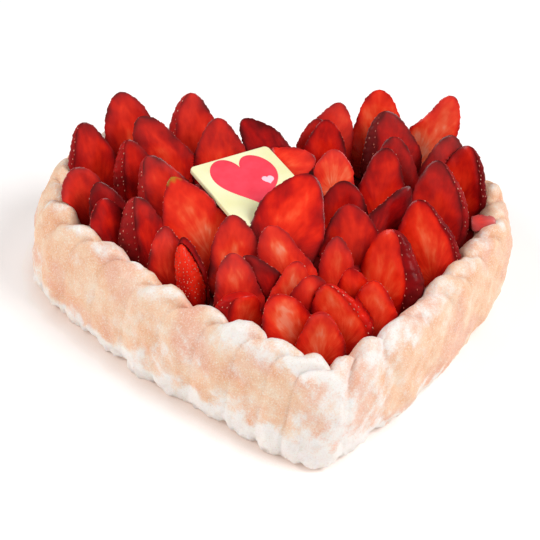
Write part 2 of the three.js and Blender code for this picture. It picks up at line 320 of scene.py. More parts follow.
# The section swept round the heart. A crease is |2f - 1|^2.2 of its depth, f being how far along
# its finger a point is, with a narrow slit exp(-(d / 1.1 mm)^2) at its bottom. Lumps of crumb and
# sugar are sums of sines pushed out along the section's own normal, strongest at the foot, and clumps
# of damp sugar on the foot and the rim are such a sum with its hollows turned up.
def bandPoints(b):
    n, fingers = heart["samples"], b["fingers"]
    curve = sectionCurve(b)
    inset, high, deep = curve.T
    d = np.gradient(curve[:, :2], axis=0)
    run = np.hypot(*d.T)
    outIn, outUp = d[:, 1] / run, d[:, 0] / run
    turn = np.arange(n) / n
    slip = smoothStep(13, 3, inset)
    shows = smoothStep(0, 0.6, deep)  # 0 on the hidden inner wall
    nearTip = bell(turn * fingers - 17.3, 0.9)[:, None]
    onRight = (smoothStep(0.53, 0.60, turn) * smoothStep(0.96, 0.90, turn))[:, None]
    lean = b["creaseLean"] + (b["rightLean"] - b["creaseLean"]) * onRight + b["tipLean"] * nearTip
    count = turn[:, None] * fingers + lean * slip
    f = count % 1.0
    number = np.floor(count).astype(int) % fingers
    off = np.abs(2 * f - 1)
    slit = bell((1 - off) / 2 * (outlineLength / fingers), 1.1)
    besideTip = (np.abs(count - fingers / 2) < 0.5) * slip
    slitDeep = 0.3 * smoothStep(1.2, 3.2, deep) + 0.1 + 0.15 * besideTip
    flatter = (1 - (1 - b["rightDeep"]) * onRight) * (1 - b["tipFlat"] * nearTip)
    depth = deep * flatter + b["tipCrease"] * besideTip
    draw = np.random.default_rng(5)
    plump = np.sin(np.pi * f) ** 2  # 1 in the middle of a finger
    girth = draw.uniform(-b["girth"], b["girth"], fingers)[number] * plump
    tall = draw.uniform(-b["tall"], b["tall"], fingers)[number] * plump
    swell = b["footSwell"] * bell(count - 17.8, 0.8) * smoothStep(26, 5, high)
    push = (girth + swell - slitDeep * slit) * shows - depth * off ** 2.2
    sway = 0.9 * np.sin(7 * turn * 2 * np.pi + 1) + 0.6 * np.sin(11 * turn * 2 * np.pi + 2.3)
    wave = high / b["height"] * shows * sway[:, None]
    inside = inset - outIn * push
    inside = np.where(inside > 0, inside * tipThick[:, None], inside)
    up = high + outUp * push + wave + (tall + rimLift(b, turn)[:, None]) * smoothStep(30, 50, high) * shows
    flat = outline[:, None] - spokes[:, None] * inside[..., None]
    points = raised(flat, up[..., None])
    way = [spokes[:, :1] * outIn, spokes[:, 1:] * outIn, np.broadcast_to(outUp, f.shape)]
    calm = 1 - b["rightCalm"] * onRight
    foot = bell(high, 7) * calm
    lumps = b["lump"] * (0.6 * waves(points, 24, 1) + 0.42 * waves(points, 11, 2) + 0.2 * waves(points, 5, 3))
    lumps += foot * (0.7 * waves(points, 7, 4) + 0.6 * waves(points, 3.4, 6))
    lumps += b["crumb"] * waves(points, 1.9, 7, 24) * smoothStep(-0.3, 0.9, waves(points, 17, 8))
    onRim = smoothStep(43, 50, high) * smoothStep(-0.4, 0.8, waves(points, 15, 25))
    damp = smoothStep(11, 4, high) + 0.6 * onRim
    lumps += b["clump"] * damp * calm * np.abs(waves(points, 2.6, 26, 24))
    points = points + np.stack(way, -1) * (lumps * shows)[..., None]
    points[..., 2] = np.maximum(points[..., 2], floorGap)
    # besides the points, the share of painted shade in each slit
    return points, slit * shows * slitDeep / b["slitShade"]


bandGrid, paintedSlitShade = bandPoints(band)
rounds, bandRows = heart["samples"], band["rows"] + 1
ring = np.concatenate([bandGrid, raised(bandGrid[:, -1:, :2], floorGap)], 1)
bandQuads = gridQuads(rounds, bandRows, closed=True)[:, [0, 3, 2, 1]]
spongeBand = meshFrom("spongeBand", ring.reshape(-1, 3), bandQuads)

# powdered sugar
dusting = {
    "rim": 0.27,
    "foot": 0.66,
    # partly thinner sugar and partly painted shade, as the right hand wall is darker
    "rightWallThinSugarAndShade": 0.42,  # how much less there is on the right hand wall
    "leftWall": 0.14,  # on the upper wall on the left
    "rightLobe": 0.26,
    "leftLobe": 0.16,
    "drifts": [(30, 22, 0.13), (13, 23, 0.12), (6, 24, 0.09)],  # size, seed of the draw and amount
    # heaps that fade by exp(-(distance / width)^2): place, width and amount
    "heaps": [
        [(-9, -82, 49), 7, 0.5], [(1, -91, 37), 11, 0.3], [(0, -95, 20), 13, 0.36], [(-20, -84, 12), 7, 0.5],
        [(21, -84, 14), 14, 0.36], [(8, -93, 10), 14, 0.25], [(-36, -60, 51), 12, 0.25],
        [(-85, -25, 4), 14, 0.3], [(-60, -50, 6), 14, 0.32], [(-36, -72, 8), 12, 0.25],
    ],
}


# the sugar at each point: thick on the rim, along the foot and in heaps, uneven in drifts, thin on the walls,
# and thinner on the right hand wall, which also paints shade there
def sugarOn(points, s):
    x, high = points[..., 0], points[..., 2]
    amount = s["rim"] * smoothStep(42, 51, high)
    amount += s["foot"] * smoothStep(19, 3, high + 3.5 * waves(points, 9, 21))
    for place, wide, heap in s["heaps"]:
        amount += heap * np.exp(-((points - np.array(place)) ** 2).sum(-1) / wide ** 2)
    for size, seed, drift in s["drifts"]:
        amount += drift * waves(points, size, seed)
    # less white on the right hand wall: partly thinner sugar, partly painted shade on that side
    amount -= s["rightWallThinSugarAndShade"] * smoothStep(15, 90, x) * smoothStep(52, 42, high)
    amount -= s["leftWall"] * smoothStep(-5, -35, x) * smoothStep(24, 34, high) * smoothStep(51, 46, high)
    amount -= s["rightLobe"] * smoothStep(55, 95, x) + s["leftLobe"] * smoothStep(-85, -108, x)
    return amount


setAttribute(spongeBand, "sugar", sugarOn(ring, dusting))
# painted shade in the slits between fingers, none on the ring along the floor
setAttribute(spongeBand, "crease", np.concatenate([paintedSlitShade, np.zeros((rounds, 1))], 1))
print("sponge band:", len(bandQuads), "quads")

# the bed of jelly between the slices
jelly = {
    "top": 32.0,
    "wave": 0.8,
    "overlap": 0.6,  # how far it reaches into the sponge
    "centre": (0.0, 4.0),
    "rings": 40,
    "every": 4,  # one point for so many of the outline's
}


# rings from the band's inner wall to the middle, at the bed's height with soft waves, closed by a skirt
# to the floor
def jellyGrid(j):
    inner = (outline - spokes * ((band["thick"] - j["overlap"]) * tipThick)[:, None])[::j["every"]]
    centre = np.array(j["centre"])
    t = np.linspace(1, 0.02, j["rings"])
    flat = centre + (inner - centre)[None] * t[:, None, None]
    points = raised(flat, j["top"])
    points[..., 2] += j["wave"] * waves(points, 16, 9) * smoothStep(1, 0.9, t)[:, None]
    return np.concatenate([raised(inner, floorGap)[None], points], 0)


jellyRings = jellyGrid(jelly)
jellyMiddles = [[*jelly["centre"], jelly["top"]], [*jelly["centre"], floorGap]]
jellyBed = stackFrom("jellyBed", np.r_[jellyRings.reshape(-1, 3), jellyMiddles], *jellyRings.shape[:2])

# Rows of strawberry slices from the front of the heart to the back. Each slice: where its tip is;
# how far it leans back, turns right and rolls right; its length, width and thickness; its ripeness,
# from 0 wine dark to 1 pale orange; how pale its core is; how much painted sheen, standing for the
# glaze's reflection, it has towards its tip; then anything of its own: "right" or "left", where the
# cut face ends as a share of that half, "point", how sharp its tip is, "hollow", by how much its left
# side is drawn in, "skin", how ripe the skin is, "seedGap", how far apart its seeds are, "backwards",
# with the skin in front, or "greenTip".
sliceRows = {"front_row": [
    [[-1, -59, 58], [6, -12, -6], [32, 22, 9], 0.83, 0.4, 0.4],
    [[-21, -49, 59], [16, 5, -30], [36, 25, 10], 0.77, 0.75, 0.2],
    [[25, -42, 61], [14, -16, -8], [34, 22, 9], 0.82, 0.35, 0.0],
    [[3, -44, 61], [14, -20, -26], [36, 26, 9], 0.81, 0.35, 0.1, {"right": 0.8}],
    [[-33, -43, 53.5], [8, 12, 0], [26, 24, 10], 0.80, 0.3, 0.1, {"point": 0.25, "left": 0.5}],
    [[-1, -39, 62], [20, -10, 0], [34, 26, 7], 0.69, 0.3, 0.4],
    [[16, -33, 61], [24, -10, -20], [32, 20, 8], 0.77, 0.4, 0.0],
    [[-7, -30, 62.5], [22, -10, 0], [34, 21, 8], 0.86, 0.6, 0.5],
], "second_row": [
    [[-36, -26, 64], [20, -6, -12], [38, 23, 8], 0.64, 0.9, 0.9],
    [[-29.5, -23, 60], [24, -10, -36], [36, 22, 6], 0.38, 0.2, 0.3],
    [[-57, -17, 60.5], [14, -8, -17], [34, 13, 9], 0.50, 0.0, 0.1,
     {"backwards": True, "seedGap": 1.7, "skin": 0.66}],
    [[37.5, -17, 70], [24, -46, -16], [46, 32, 18], 0.75, 0.2, 0.0,
     {"right": 0.62, "skin": 0.14, "seedGap": 4.4}],
    [[13, -17, 66], [22, -12, -8], [38, 19, 7], 0.63, 0.5, 0.7],
    [[-56, -13, 62.5], [18, -10, -18], [36, 14, 7], 0.42, 0.1, 0.0],
    [[-63, -6, 63], [16, 0, -6], [34, 19, 8], 0.63, 0.9, 0.5],
    [[-17.5, -10, 66.5], [28, -12, -28], [42, 26, 9], 0.68, 0.8, 0.6],
], "third_row": [
    [[-33, -4, 68], [26, -10, -10], [42, 26, 10], 0.60, 0.8, 0.6],
    [[22, 3, 69], [28, -12, -12], [42, 31, 9], 0.53, 0.3, 0.3],
    [[55, 5, 70], [26, -26, -26], [46, 30, 10], 0.64, 0.4, 0.0, {"right": 0.84, "skin": 0.16}],
    [[56, 19, 67], [32, 8, 42], [36, 16, 7], 0.30, 0.3, 0.0],
    [[4.5, 10.5, 80], [42, -12, 18], [54, 36, 13], 0.50, 0.9, 0.1],
    [[-58, 21.5, 70], [32, -6, -30], [50, 32, 11], 0.67, 0.6, 0.3, {"point": 0.6, "greenTip": True}],
    [[-75, 12, 65.5], [22, 18, -8], [40, 24, 11], 0.42, 0.5, 0.5, {"left": 0.35}],
    [[-89, 15, 62.5], [20, 20, -8], [34, 22, 8], 0.49, 0.3, 0.1],
    [[25, 25, 66], [28, -12, -4], [40, 30, 8], 0.39, 0.3, 0.1],
], "fourth_row": [
    [[72, 34, 72], [26, -34, -18], [48, 30, 10], 0.44, 0.3, 0.4, {"right": 0.86}],
    [[50, 46, 70.5], [28, -20, -6], [44, 26, 9], 0.43, 0.5, 0.2],
    [[-45, 27, 62], [30, -10, -28], [36, 24, 7], 0.36, 0.2, 0.8],
    [[-91, 26, 63.5], [24, 8, -16], [34, 20, 6], 0.42, 0.3, 0.3],
    [[-68, 36, 71], [26, 10, -24], [46, 28, 10], 0.49, 0.6, 0.7, {"left": 0.72}],
    [[-101, 34, 65.5], [18, 20, -12], [38, 28, 8], 0.56, 0.4, 0.7],
    [[24.5, 48, 68], [32, -12, -4], [24, 21, 12], 0.80, 0.1, 0.9],
    [[15.6, 47.5, 63], [42, -10, 66], [34, 22, 12], 0.72, 0.1, 0.5],
    [[55.5, 55, 71], [28, -18, -10], [46, 28, 7], 0.47, 0.1, 0.4],
    [[93, 50, 69.5], [20, -42, -10], [44, 28, 9], 0.53, 0.3, 0.1, {"right": 0.8, "skin": 0.12}],
    [[86, 57, 71], [24, -35, -10], [44, 27, 7], 0.37, 0.2, 0.9],
    [[-76, 49, 71], [22, 16, -10], [44, 24, 11], 0.48, 0.3, 0.3, {"left": 0.6}],
    [[100, 11.5, 52], [50, -20, 74], [12, 8, 5], 0.50, 0.2, 4.6, {"point": 0.3}],
], "fifth_row": [
    [[23, 66, 73], [26, -15, -8], [46, 26, 8], 0.48, 0.5, 0.0],
    [[54, 71.5, 75], [26, 4, -10], [50, 32, 11], 0.38, 0.2, 0.5, {"left": 0.62, "skin": 0.03}],
    [[-31.5, 64.5, 74], [26, -12, -12], [46, 30, 8], 0.52, 0.6, 0.5],
    [[-69.5, 64, 74], [24, -4, -34], [50, 28, 8], 0.44, 0.9, 0.5],
    [[-19, 66, 72.5], [38, -12, -46], [42, 22, 8], 0.28, 0.1, 0.0],
    [[20.5, 73, 69], [24, -4, -6], [44, 27, 7], 0.64, 0.1, 0.4],
], "back_row": [
    [[-96, 64.5, 70], [22, 14, -10], [44, 26, 9], 0.46, 0.4, 0.4, {"left": 0.8}],
    [[-77.5, 81, 77], [22, 0, -14], [50, 30, 9], 0.50, 0.8, 0.5],
    [[-43, 81.5, 77], [22, 0, -8], [48, 28, 10], 0.53, 0.5, 0.7, {"left": 0.75}],
    [[33.5, 81.5, 73], [22, -14, 8], [46, 28, 8], 0.70, 0.2, 0.8],
    [[54.5, 88, 77], [22, -14, -8], [48, 31, 8], 0.80, 0.1, 0.2],
    [[93, 83, 77], [22, -28, 12], [48, 27, 8], 0.83, 0.2, 0.6, {"hollow": 0.3}],
]}
underPlaque = {"third_row_6", "fourth_row_3", "fourth_row_5", "fourth_row_8"}
onTheSponge = {"fourth_row_13"}  # a scrap of fruit

berry = {
    "rows": 72,
    "faceColumns": 37,
    "skinColumns": 29,
    "dimple": 0.15,
    "dimpleWide": 0.85,
    "seedGap": 3.1,
    "seed": (0.50, 0.34, 0.24),  # half length, half width, half height
    "seedSunk": 0.08,
    "ragged": 0.11,  # how far the outline steps in and out
    "backShift": 0.6,  # a piece with its skin in front stands this share of its thickness further back
    "reach": 60.0,  # slices whose tips are further apart don't touch
    "behind": 0.2,  # how far behind another slice a point is moved
    "spare": 1.5,
    "sunk": 1.5,  # how deep the foot stands in the jelly
}


# across, along and out of the face of a piece that leans back, turns about the vertical and rolls in
# its own plane
def directions(lean, turn, roll):
    leant, turned, rolled = np.radians([lean, turn, roll])
    across = np.array([np.cos(turned), np.sin(turned), 0])
    along = np.array([-np.sin(turned) * np.sin(leant), np.cos(turned) * np.sin(leant), np.cos(leant)])
    side = np.cos(rolled) * across - np.sin(rolled) * along
    return np.array([side, np.cos(rolled) * along + np.sin(rolled) * across, np.cross(across, along)])


# a row of the table by name; a skin's ripeness follows the flesh's unless the row gives it
def readSlice(name, row):
    tip, pose, (long, wide, thick), ripe, core, paintedSheen, *own = row
    s = {"name": name, "tip": np.array(tip, float), "axes": directions(*pose), "long": long, "wide": wide,
         "thick": thick, "ripe": ripe, "core": core, "paintedSheen": paintedSheen, "left": 1.0, "right": 1.0, "point": 0.5,
         "hollow": 0.0, "skin": 0.62 * ripe - 0.03, "seedGap": berry["seedGap"], "backwards": False,
         "greenTip": False}
    return {**s, **(own[0] if own else {})}


# width a fraction v up from the stem end, of the widest: sin(pi v^0.62) to the power point
def share(s, v):
    return np.sin(np.pi * np.clip(v, 0, 1) ** 0.62).clip(1e-9) ** s["point"]


# from across, along and out of the face to the heart's own axes
def placed(s, a, b, c):
    if s["backwards"]:
        a, c = -a, -c - s["thick"] * berry["backShift"]
    return s["tip"] + a[..., None] * s["axes"][0] + b[..., None] * s["axes"][1] + c[..., None] * s["axes"][2]


# points of a slice further back that lie in this one are moved behind it, as soft fruit gives way;
# the skin lies behind the face by thick part^0.8 (1 - x^2)^0.45
def giveWay(s, points):
    a, b, c = ((points - s["tip"]) @ s["axes"].T).T
    part = share(s, 1 + b / s["long"])
    x = np.abs(a) / np.maximum(s["wide"] / 2 * part, 1e-6)
    depth = s["thick"] * part ** 0.8 * (1 - np.clip(x, 0, 1) ** 2) ** 0.45
    back = -berry["backShift"] * s["thick"]
    low, high = (back, back + depth) if s["backwards"] else (-depth, 5.0)
    hit = (b > -s["long"]) & (b < 0) & (x < 1) & (c > low) & (c < high + berry["spare"])
    return points + np.where(hit, low - berry["behind"] - c, 0.0)[:, None] * s["axes"][2]


slices = [readSlice(f"{name}_{i + 1}", row) for name, rows in sliceRows.items() for i, row in enumerate(rows)]

plaque = {
    "at": (-17.8, 26.0, 62.5),
    "pose": (84.5, 32.0, 6.0),  # how far it leans back, turns right and rolls right
    "side": 45.0,
    "thick": 2.4,
    "corner": 2.5,
    "cornerPoints": 9,
    "fillet": 0.6,
    "border": 2.0,  # from the fillet's top to the next ring
    "room": 3.3,  # how far below its top the fruit stays
    "clear": 0.3,  # and how far round it
    "warp": 0.12,
}
plaqueAxes = directions(*plaque["pose"])


# points below the plaque's outline that stick out of it are moved down to its underside
def underThePlaque(points):
    a, b, c = ((points - np.array(plaque["at"])) @ plaqueAxes.T).T
    half = plaque["side"] / 2 + plaque["clear"]
    hit = (np.abs(a) < half) & (np.abs(b) < half) & (c > -plaque["room"])
    return points + np.where(hit, -plaque["room"] - c, 0.0)[:, None] * plaqueAxes[2]


# points inside the sponge are moved towards the middle of the cake until they just touch its inner face
def outOfTheBand(points):
    coarse, ways, thick = outline[::6], spokes[::6], tipThick[::6]
    gap = points[:, None, :2] - coarse[None]
    nearest = (gap ** 2).sum(-1).argmin(1)
    depth = -(gap[np.arange(len(points)), nearest] * ways[nearest]).sum(-1)
    section = np.array(band["section"])
    inner = section[section[:, 1].argmax():-1][::-1]  # the inner wall, up to the top of the rim
    wall = np.interp(points[:, 2], np.r_[inner[:, 1], band["height"] + 1], np.r_[inner[:, 0], -50])
    wall = (wall - 1.2) * thick[nearest]
    shift = np.clip(wall - depth, 0, None) * (wall > 0)
    return points - np.c_[ways[nearest] * shift[:, None], np.zeros(len(points))]


# a slice among its neighbours: behind those in front of it, clear of the band, on the bed
def settle(s, points, earlier):
    for other in earlier:
        if np.linalg.norm(other["tip"] - s["tip"]) < berry["reach"]:
            points = giveWay(other, points)
    if s["name"] in underPlaque:
        points = underThePlaque(points)
    if s["name"] not in onTheSponge:
        points = outOfTheBand(points)
    points[:, 2] = np.maximum(points[:, 2], jelly["top"] - berry["sunk"])
    return points


# how far the outline steps in and out: three sines, 5.3, 2.9 and 1.7 mm long
def raggedEdge(along, k):
    turn = along * 2 * np.pi
    steps = 1.3 * np.sin(turn / 5.3 + k) + np.sin(turn / 2.9 + 3 * k) + 0.7 * np.sin(turn / 1.7 + 2 * k)
    return berry["ragged"] * steps


# Rings from stem to tip. Each ring runs across the flat cut face, then back round the skin on half
# an ellipse. Past the share where the face ends the skin starts with a quarter of an ellipse. Slow
# sines along the slice swell it and bend it sideways by a few hundredths of its half width, and its
# two edges step in and out, each in its own way. A hollow draws the left side in by that share times
# a half wave of sine in the upper half. The face is a low dome whose edge is turned down by 0.3 mm.
def sliceSurface(s, seed):
    t = np.linspace(0, 1, berry["rows"])
    v = 0.02 + 0.979 * (1 - (1 - t) ** 1.7)
    part, b = share(s, v), (v - 1) * s["long"]
    half = s["wide"] / 2 * part * (1 + 0.04 * np.sin(7 * v + seed) + 0.025 * np.sin(15 * v + 2 * seed))
    bent = 0.045 * half * np.sin(4.5 * v + 1.3 * seed) + 0.02 * half * np.sin(12 * v + 2.1 * seed)
    slope = np.abs(np.gradient(half, b))
    along = np.cumsum(np.r_[0, np.hypot(np.diff(half), np.diff(b))])
    v, part, b, half, bent, slope, along = (k[:, None] for k in (v, part, b, half, bent, slope, along))
    rightStep, leftStep = (raggedEdge(along, k) * smoothStep(0, 4, half) for k in (seed, seed + 2))
    # across the face, closer near its edges, and back round the skin
    across = np.sin(np.linspace(np.pi / 2, -np.pi / 2, berry["faceColumns"]))
    angle = np.linspace(np.pi, 0, berry["skinColumns"] + 2)[1:-1]
    x = np.r_[across, np.cos(angle)]
    drawnIn = 1 - s["hollow"] * np.sin(np.pi * np.clip(2 * v - 1, 0, 1)) * (x < 0)
    a = x * (half * drawnIn + (1 + x) / 2 * rightStep + (1 - x) / 2 * leftStep)
    sides = {"right": x, "left": -x}
    ends = {side: 0.55 * (1 - s[side]) ** 0.5 for side in sides}
    past = {side: np.clip((far - s[side]) / max(1 - s[side], 1e-6), 0, 1) for side, far in sides.items()}
    bevel = sum(ends[side] * (1 - np.sqrt(1 - past[side] ** 2)) for side in sides)
    onFace = np.r_[np.ones(len(across)), np.zeros(len(angle))]
    start = ends["right"] * (1 + x) / 2 + ends["left"] * (1 - x) / 2
    deep = s["thick"] * part ** 0.8
    c = -deep * np.where(onFace > 0, bevel, start + (1 - start) * np.sqrt(1 - x ** 2) ** 0.9)
    face = onFace * (past["right"] <= 0) * (past["left"] <= 0) * np.ones_like(a)
    rimAway = np.minimum(s["right"] * half - a, s["left"] * half * drawnIn + a)
    rimAway = np.clip(rimAway / np.sqrt(1 + slope ** 2), 0, None) * face
    dome = 0.5 * (1 - x ** 2) * part + 0.2 * np.sin(a * 0.45 + seed) * np.sin(b * 0.3 + 2 * seed)
    c = c + face * (dome * smoothStep(0, 3, rimAway) - 0.3 * np.exp(-rimAway / 0.5))
    return v, half, deep, a + bent, np.broadcast_to(b, a.shape), c, face, rimAway


# Seeds in rows half a gap to a gap apart round the skin: one just past the edge of the face at both
# ends of a row, and between them others a steady gap apart that take turns with the row before. All
# are a little off, and one in five is missing.
def seedPlaces(s, grid, face, draw):
    columns = np.arange(face.shape[1])
    onFace = columns[face[0] > 0]
    skin = np.roll(columns, -(onFace[-1] + 1))[:len(columns) - len(onFace)]
    height = grid[:, 0, 1]
    places = []
    rows = int(s["long"] / s["seedGap"] * 1.15)
    levels = -s["long"] * 0.8 + np.cumsum(s["seedGap"] * draw.uniform(0.48, 1.0, rows))
    levels = levels[levels < -0.5]
    for k, level in enumerate(levels):
        run = grid[np.abs(height - level).argmin(), skin]
        length = np.r_[0, np.cumsum(np.linalg.norm(np.diff(run, axis=0), axis=1))]
        gap = s["seedGap"] * 1.36
        spots = np.arange(gap * (0.75 + 0.5 * (k % 2)), length[-1] - gap * 0.5, gap)
        spots = np.r_[0.4, spots, length[-1] - 0.4] + draw.normal(0, 0.3, len(spots) + 2)
        spots = spots[draw.uniform(size=len(spots)) < 0.8]
        places.append(np.stack([np.interp(spots, length, run[:, j]) for j in range(3)], 1))
    return np.concatenate(places)


# how much less ripe the cut face is in places, and over how wide a stretch
cutFace = {
    "edge": (-0.17, 1.2),  # the dark line round it, mm
    "margin": (-0.25, 3.2),  # an uneven margin, mm
    "core": (0.26, 0.38),  # the pale core, as a share of the half width
    "vein": (0.13, 0.075),  # the pale veins beside it
    "tip": (-0.05, 0.25),  # the upper end, as a share of the length
    "fibreTurn": 6,  # fibres to a radian, as they fan out from the foot of the core
    "fibreLong": 13.0,
}


# Ripeness of the cut face: less at the edge by exp(-(d / wide)^2) and in the margin by exp(-d / wide),
# more in the core by exp(-(x / wide)^2) and in two veins that bound it and meet near the tip.
def faceRipeness(s, index, v, x, a, b, rimAway):
    (edge, edgeWide), (margin, marginWide), (core, coreWide), (vein, veinWide), (tip, tipLong) = (
        cutFace[k] for k in ("edge", "margin", "core", "vein", "tip"))
    uneven = 0.8 + 0.7 * np.sin(0.42 * a + 0.3 * b + 2 * index) * np.sin(0.21 * b - 0.33 * a + index)
    ripe = s["ripe"] + 0.03 + edge * bell(rimAway, edgeWide)
    ripe = ripe + margin * uneven * np.exp(-rimAway / marginWide) + tip * smoothStep(1 - tipLong, 1, v)
    coreHere = bell(x, coreWide) * smoothStep(0.05, 0.35, v) * smoothStep(0.95, 0.6, v)
    veinAt = (0.44 + 0.05 * np.sin(9 * v + index)) * smoothStep(1.02, 0.5, v)
    veinHere = bell(np.abs(x) - veinAt, veinWide) * smoothStep(0.1, 0.4, v) * smoothStep(0.95, 0.8, v)
    veinHere *= 0.75 + 0.45 * np.sin(0.7 * b + np.sign(a) + index)
    return ripe + s["core"] * (core * coreHere + vein * veinHere)


# A slice as a mesh, and the places, outward and upward directions and sizes of its seeds. Round each
# seed the skin sinks by the dimple times exp(-(distance / width)^2).
def makeSlice(index, s):
    v, half, deep, a, b, c, face, rimAway = sliceSurface(s, index * 1.7)
    grid = np.stack([a, b, c], -1)
    spots = seedPlaces(s, grid, face, np.random.default_rng(100 + index))
    gap = ((grid[..., None, :] - spots) ** 2).sum(-1)
    dent = berry["dimple"] * np.exp(-gap / berry["dimpleWide"] ** 2).sum(-1).clip(0, 1.2) * (1 - face)
    shrink = 1 - dent / np.maximum(np.hypot(a, c + deep * 0.3), 2)
    tipAndStem = np.array([[0, 0, -0.12 * s["thick"]], [0, -s["long"], -0.2 * s["thick"]]])
    cloud = np.r_[placed(s, a * shrink, b, c * shrink).reshape(-1, 3), placed(s, *tipAndStem.T)]
    seedCloud = placed(s, *spots.T)
    deeper = placed(s, spots[:, 0] * 0.9, spots[:, 1] - 0.3, spots[:, 2] * 0.9 - 0.1)
    both = settle(s, np.r_[cloud, seedCloud], slices[:index])
    cloud, seedsHere = both[:len(cloud)], both[len(cloud):]
    made = stackFrom("slice_" + s["name"], cloud, *a.shape)
    x = a / np.maximum(half, 1e-6)
    # on the skin, painted shade makes each seed's dimple a little darker
    ripe = np.where(face > 0, faceRipeness(s, index, v, x, a, b, rimAway), s["skin"] - 0.05 * dent)
    setAttribute(made, "ripeness", np.r_[ripe.ravel(), s["ripe"] - 0.2, s["ripe"]])
    setAttribute(made, "flesh", np.r_[face.ravel(), 0, 0])
    green = 0.55 * smoothStep(0.93, 0.99, v + 0.012 * np.sin(2 * a + 1)) * s["greenTip"]
    setAttribute(made, "unripe", np.r_[green.ravel(), float(s["greenTip"]), 0])
    # painted sheen that stands for the glaze's reflection, stronger towards the tip
    paintedSheen = s["paintedSheen"] * (0.045 + 0.085 * smoothStep(0.4, 1, v)) * np.ones_like(a)
    setAttribute(made, "paintedSheen", np.r_[paintedSheen.ravel(), 0, 0])
    up = b + s["long"] * 0.85
    fibres = np.stack([np.arctan2(a, up) * cutFace["fibreTurn"], np.hypot(a, up) / cutFace["fibreLong"]], -1)
    setUv(made, np.r_[fibres.reshape(-1, 2), np.zeros((2, 2))] + index * 3.7)
    outward = seedCloud - deeper
    outward /= np.linalg.norm(outward, axis=1)[:, None]
    keep = (np.linalg.norm(seedsHere - seedCloud, axis=1) < 0.5) & (seedsHere[:, 2] > jelly["top"])
    size = min(s["seedGap"] / berry["seedGap"], 1.0) ** 0.7
    upward = np.broadcast_to(s["axes"][1], outward.shape)
    return made, (seedsHere[keep], outward[keep], upward[keep], np.full(keep.sum(), size))


sliceObjects, seedParts = [], []
for index, s in enumerate(slices):
    made, seedPart = makeSlice(index, s)
    sliceObjects.append((made, s["name"]))
    seedParts.append(seedPart)
print("slices:", len(sliceObjects))


# each seed is a drop shaped bead of three rings of six, pointing to the tip, half sunk in its dimple
def seedBodies(centres, normals, ups, grown, size):
    sides = 6
    turn = np.arange(sides) / sides * 2 * np.pi
    level, wide = np.array([[-0.6], [0.1], [0.75]]), np.array([[0.75], [1.0], [0.5]])
    rings = np.stack([np.cos(turn) * wide, np.sin(turn) * wide, level * np.ones(sides)], -1).reshape(-1, 3)
    bead = np.r_[rings, [[0, 0, 1.0]], [[0, 0, -1.0]]] * [size[1], size[0], size[2]]
    side = np.cross(ups, normals)
    side /= np.linalg.norm(side, axis=1)[:, None]
    ways = np.stack([side, np.cross(normals, side), normals], 1)
    grown = grown * np.random.default_rng(4).uniform(0.7, 1.15, len(centres))
    points = centres[:, None] + (bead[None] * grown[:, None, None]) @ ways
    step = (np.arange(len(centres)) * len(bead))[:, None, None]
    quads, tris = gridQuads(len(level), sides)[None] + step, caps(len(level), sides)[None] + step
    return points.reshape(-1, 3), quads.reshape(-1, 4), tris.reshape(-1, 3)


seedCentres, seedNormals, seedUps, seedSizes = (np.concatenate(part) for part in zip(*seedParts))
seedCentres = seedCentres - seedNormals * berry["seedSunk"]
seeds = meshFrom("strawberrySeeds", *seedBodies(seedCentres, seedNormals, seedUps, seedSizes, berry["seed"]))
print("seeds:", len(seedCentres))


# a rounded square with soft edges: rings of the outline stepped in and down round a small fillet
def plaquePoints(p):
    n = p["cornerPoints"]
    q = np.repeat(np.arange(4), n)
    a = np.pi / 2 * (q + np.tile(np.linspace(0, 1, n), 4))
    corners = np.array([[1, 1], [-1, 1], [-1, -1], [1, -1]])[q] * (p["side"] / 2 - p["corner"])
    e, turn = p["fillet"], np.linspace(0, np.pi / 2, 5)
    grow = np.r_[-p["corner"], -p["border"], e * (np.sin(turn) - 1), e * (np.cos(turn) - 1), -p["corner"]]
    level = np.r_[0, 0, e * (np.cos(turn) - 1), -p["thick"] + e * (1 - np.sin(turn)), -p["thick"]]
    rings = corners + (p["corner"] + grow)[:, None, None] * np.c_[np.cos(a), np.sin(a)]
    return raised(rings, level[:, None, None])


# the plaque isn't quite flat: it rises and falls by its warp in long waves
def warped(points):
    lift = plaque["warp"] * np.sin(points[:, 0] * 0.11) * np.cos(points[:, 1] * 0.09)
    return np.c_[points[:, :2], points[:, 2] + lift]


# from the plaque's own axes to the heart's
def onPlaque(points):
    return np.array(plaque["at"]) + warped(points) @ plaqueAxes


plaqueRings = plaquePoints(plaque)
plaqueCloud = onPlaque(np.r_[plaqueRings.reshape(-1, 3), [[0, 0, -plaque["thick"]]], [[0, 0, 0]]])
chocolatePlaque = stackFrom("chocolatePlaque", plaqueCloud, *plaqueRings.shape[:2], turned=True)

printed = {
    "redHeart": {"width": 33.5, "height": 39.0, "centre": (-1.0, 1.4), "turn": -7.0, "lift": 0.14},
    "paleHeart": {"width": 6.2, "height": 6.0, "centre": (8.3, 0.2), "turn": -12.0, "lift": 0.22},
}
printFoot = -0.4  # how deep the edge of a print goes into the plaque


